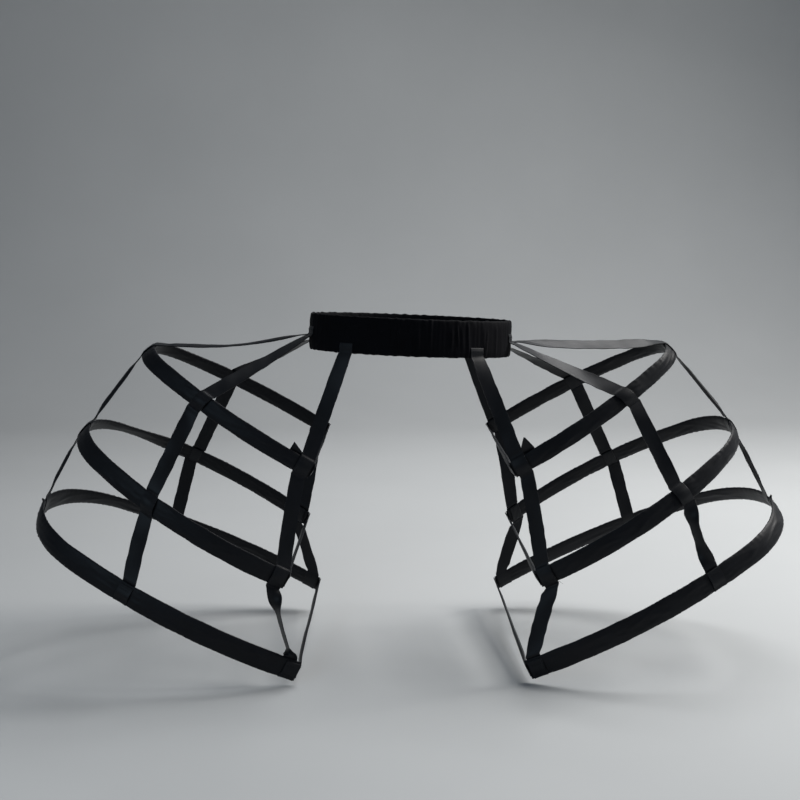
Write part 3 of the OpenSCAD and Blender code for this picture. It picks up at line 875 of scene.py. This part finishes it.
def under_points(half_w, puff, end, flare):
    """From the upper edge down the inner face, round the lower edge and up the outer face to a cut end."""
    return [
        (half_w + EDGE_ROOM, -0.2 * MM),
        (half_w, -0.45 * HALF_T),
        (SHOULDER_W * half_w, -SHOULDER_T * HALF_T),
        (0.0, -HALF_T),
        (-SHOULDER_W * half_w, -SHOULDER_T * HALF_T),
        (-half_w, -0.5 * HALF_T),
        (-half_w, 0.0),
        (-half_w, 0.5 * HALF_T),
        (-SHOULDER_W * half_w, SHOULDER_T * HALF_T),
        (-0.2 * half_w, HALF_T + puff),
        (end * half_w, HALF_T + 0.2 * MM),
        (end * half_w + 3 * MM, HALF_T + 0.1 * MM + flare),
    ]


def tape(
    side, name, angle, top, low, places, rolls, sags, bows, end, seed,
    shifts=(0, 0, 0), curls=(0, 0, 0), puff=1.3 * MM, flare=0, corner=None,
):
    """Tape from the waistband over the top and middle hoops, wrapped at each, and round the bottom hoop."""
    way = SIDES[side]
    cloth, thread = Cloth(), Cloth()
    route = Route(way)
    point, out, along, curve = band_spot(way, angle)
    tuck = 4 * MM

    def sewn(z):
        dip = 1.2 * TAPE_T * soft_step((z - top + tuck) / tuck)
        return point + SEAT_UP * z + out * (band_face(z) + 0.2 * GATHER_H + 0.55 * TAPE_T - dip)

    rows = (top - tuck, low + 3 * MM)
    for z in (top, top - tuck / 2, *rows):
        route.add(sewn(z), along, 1.0, out, curve)
    for z in rows:
        stitch_row(thread, sewn(z) + out * TAPE_T / 2, along, 0.4 * TAPE_W, out, curve)
    length = 0.0
    for i, level in enumerate(LEVELS):
        hoop = HOOPS[side, level]
        last = level == "bottom"
        half_w = TAPE_DRAWN * hoop.half_w
        lift = 0.0 if last else OVER_WRAP
        points = under_points(half_w, puff, end, flare) if last else over_points(half_w, lift, puff)
        middle, across, edge, face, _ = hoop.section(places[i] - shifts[i] / 2 / hoop.half_len)
        first = middle + edge * points[0][0] + face * points[0][1]
        route.run(first, across, rolls[i], sags[i], bows[i], curls[i])
        route.cross(hoop, places[i], points, shifts[i], (0.25 if last else 0.6) * puff)
        if not last:
            skew = -shifts[i] / 3 if shifts[i] else (-1) ** i * 1.2 * MM
            length += wrap(cloth, hoop, places[i], skew, seed + 10 * i)
        upper_row = end - ROW_BELOW_END if last else ROW_PLACE
        for share in (upper_row, -ROW_PLACE):
            spot = places[i] - share * shifts[i] / 2 / hoop.half_len
            middle, across, edge, face, r = hoop.section(spot)
            f = HALF_T * full(np.array(share)) + lift + TAPE_T / 2 + 0.45 * puff
            row = middle + edge * hoop.half_w * share + face * f
            stitch_row(thread, row, across, ROW_HALF_LEN, face, 1 / r)
    length += route.lay(cloth, seed, flare > 0)
    if corner:
        flap(cloth, HOOPS[side, "top"], places[0], *corner)
    node = f"{side}_{name}_tape"
    piece = cloth.make(f"{node}_satin", TAPE_SATIN, "tape_satin", [node])
    sewing = thread.make(f"{node}_stitches", THREAD, "tape_satin")


LOWER_EDGE = -BAND_H / 2
FRONT_ANGLE = math.degrees(math.acos(FRONT_TAPE_X / (WAIST_W / 2 + BAND_T)))
SIDE_ANGLE = math.degrees(SIDE_SPACING / (WAIST_D / 2 + BAND_T))
HALF_SEWN = SEWN_LEN / 2


def corners(side, way):
    """Places of a front (-1) or back (1) tape, just inside the ends of the three hoops."""
    return [way * HOOPS[side, level].corner for level in LEVELS]


FRONT_SEWN = dict(angle=-FRONT_ANGLE, top=LOWER_EDGE + SEWN_LEN, low=LOWER_EDGE)
FRONT_QUARTER_SEWN = dict(angle=-SIDE_ANGLE, top=HALF_SEWN, low=-HALF_SEWN)
SIDE_SEWN = dict(angle=0.0, top=HALF_SEWN, low=-HALF_SEWN)
BACK_QUARTER_SEWN = dict(
    angle=SIDE_ANGLE, top=HALF_SEWN - BACK_QUARTER_LOW, low=-HALF_SEWN - BACK_QUARTER_LOW)
BACK_SEWN = dict(angle=FRONT_ANGLE, top=LOWER_EDGE + SEWN_LEN, low=LOWER_EDGE)

# Each tape: angle on the waistband, upper and lower end of its sewn part, places on the three hoops.
# For its three free stretches: roll, sag, sideways bow and curl; for its three crossings: shift.
# Then its cut end as a share of the casing's half width, how it puffs at the crossings,
# how far its end flares, and the height and peak of a corner that stands up.
TAPES = {
    ("left", "front"): dict(
        **FRONT_SEWN, places=corners("left", -1), rolls=(-6, 6, (94, 0.034, 0.007)), sags=(0, 0, 0),
        bows=(0, 0.001, 0.002), end=0.55, shifts=(0, 0, -0.007), corner=(0.010, 1)),
    ("right", "front"): dict(
        **FRONT_SEWN, places=corners("right", -1), rolls=(8, 0, -10), sags=(0, 0, 0),
        bows=(0, 0.001, -0.002), end=0.55, corner=(0.019, 0.8)),
    ("left", "front_quarter"): dict(
        **FRONT_QUARTER_SEWN, places=[-0.455, -0.486, -0.488], rolls=(-6, -16, -10), sags=(0.001, 0, 0),
        bows=(0, 0, 0.001), end=0.55, shifts=(0.006, -0.008, 0), puff=1.8 * MM),
    ("right", "front_quarter"): dict(
        **FRONT_QUARTER_SEWN, places=[-0.432, -0.450, -0.432],
        rolls=((2, 0.02, 0.03), 10, (80, 0.026, 0.034)), sags=(0.001, 0, 0),
        bows=(0, 0, -0.003), end=0.75, shifts=(0.009, 0.003, 0)),
    ("left", "side"): dict(
        **SIDE_SEWN, places=[0.0, 0.0, 0.0], rolls=(5, -11, -11), sags=(0.0095, 0, 0),
        bows=(0, 0, 0), end=0.4, flare=0.003, curls=(0.0026, 0.003, 0.003), puff=0.2 * MM),
    ("right", "side"): dict(
        **SIDE_SEWN, places=[0.0, 0.0, 0.0], rolls=((28, 0.05, 0.03), -2, -2), sags=(0.004, 0, 0),
        bows=(0, 0, 0), end=0.4, flare=0.003, curls=(0, 0.003, 0.003), puff=0.2 * MM),
    ("left", "back_quarter"): dict(
        **BACK_QUARTER_SEWN, places=[0.505, 0.512, 0.495], rolls=(0, 0, 0), sags=(0.001, 0, 0),
        bows=(0, 0, 0), end=0.5),
    ("right", "back_quarter"): dict(
        **BACK_QUARTER_SEWN, places=[0.550, 0.552, 0.525], rolls=(0, -20, -14), sags=(0.001, 0, 0),
        bows=(0, 0, 0), end=0.5),
    ("left", "back"): dict(
        **BACK_SEWN, places=corners("left", 1), rolls=(0, 5, 10), sags=(0, 0, 0),
        bows=(0, 0.001, 0.001), end=0.5),
    ("right", "back"): dict(
        **BACK_SEWN, places=corners("right", 1), rolls=(0, 5, 12), sags=(0, 0, 0),
        bows=(0, -0.001, 0.001), end=0.5),
}


def loose_thread(side, level, g):
    """A thread end that was left hanging at a crossing."""
    hoop = HOOPS[side, level]
    middle, along, edge, face, _ = hoop.section(g)
    t = np.linspace(0, 1, 24)
    r = 0.13 * MM
    start = middle - edge * 0.5 * hoop.half_w + face * (HALF_T + 2.6 * MM) + along * 6 * MM
    line = start + along * (t * 7 * MM)[:, None] - edge * (9 * MM * t**1.4)[:, None]
    line = line + face * (1.2 * MM * np.sin(2.6 * t) + 0.6 * MM * np.sin(7 * t))[:, None]
    across, thick = r * THREAD_ACROSS, r * THREAD_THICK
    layers = [
        line[:, None] + along * across[:, None] + face * (way * thick)[:, None] for way in (1, -1)
    ]
    cloth = Cloth()
    cloth.strip(*layers, 12 * MM * t, across, turned=True)
    cloth.make(f"{side}_{level}_loose_thread", THREAD, "tape_satin")


elastic()
waistband()
for number, (side, level) in enumerate(HOOPS):
    places = [values["places"][LEVELS.index(level)] for (s, _), values in TAPES.items() if s == side]
    casing(side, level, places, 100 + 100 * number)
    bone(side, level)
    stay(side, level, 50 + number)
for number, ((side, name), values) in enumerate(TAPES.items()):
    tape(side, name, **values, seed=1000 + 100 * number)
loose_thread("right", "middle", -HOOPS["right", "middle"].corner)


# Floor, light and camera


def studio():
    """A paper sweep: a floor that curves up into a backdrop."""
    floor_z = cad_low.z - 0.004
    front, depth, radius, top, half_w = -7.0, 1.6, 0.9, 3.0, 6.0
    turn = np.linspace(0, np.pi / 2, 24)
    profile = [(front, floor_z)]
    profile += [(depth + radius * math.sin(a), floor_z + radius * (1 - math.cos(a))) for a in turn]
    profile += [(depth + radius, top)]
    points = [(x, y, z) for y, z in profile for x in (-half_w, half_w)]
    faces = [(2 * i, 2 * i + 1, 2 * i + 3, 2 * i + 2) for i in range(len(profile) - 1)]
    mesh = bpy.data.meshes.new("sweep")
    mesh.from_pydata(points, [], faces)
    mesh.polygons.foreach_set("use_smooth", [True] * len(mesh.polygons))
    mesh.materials.append(paper_material("paper", (0.38, 0.39, 0.395), (0.42, 0.43, 0.435)))
    sweep = bpy.data.objects.new("sweep", mesh)
    bpy.context.scene.collection.objects.link(sweep)


def area_light(name, place, target, size, power, colour):
    light = bpy.data.lights.new(name, "AREA")
    light.shape = "RECTANGLE"
    light.size, light.size_y = size
    light.energy = power
    light.color = colour
    lamp = bpy.data.objects.new(name, light)
    bpy.context.scene.collection.objects.link(lamp)
    away = unit(np.array(place) - np.array(target))
    lamp.location = place
    lamp.rotation_euler = (math.acos(away[2]), 0, math.atan2(away[1], away[0]) + math.pi / 2)


def world_light():
    world = bpy.data.worlds.new("studio")
    bpy.context.scene.world = world
    world.use_nodes = True
    background = world.node_tree.nodes["Background"]
    background.inputs["Color"].default_value = (0.75, 0.84, 0.95, 1)
    background.inputs["Strength"].default_value = 0.18


def camera():
    """The photograph's view, from a little above and to the left of the middle."""
    data = bpy.data.cameras.new("camera")
    data.sensor_width = 36.0
    data.lens = 52.3
    eye = bpy.data.objects.new("camera", data)
    bpy.context.scene.collection.objects.link(eye)
    eye.location = (-0.0391, -1.3995, 0.130)
    eye.rotation_euler = (math.pi / 2 - 0.148, 0.0, -0.019)
    bpy.context.scene.camera = eye


studio()
area_light("key", (1.75, 0.25, 1.15), (0.05, 0.0, -0.15), (1.0, 1.2), 55.0, (1.0, 0.98, 0.95))
area_light("top", (0.6, 0.8, 1.6), (0.1, 0.0, -0.2), (1.1, 0.8), 31.0, (1.0, 1.0, 1.0))
area_light("fill", (-1.3, -1.6, 0.5), (0.0, 0.0, -0.15), (0.9, 0.9), 5.5, (0.62, 0.82, 1.0))
world_light()
camera()
bpy.context.scene.view_settings.view_transform = "Standard"
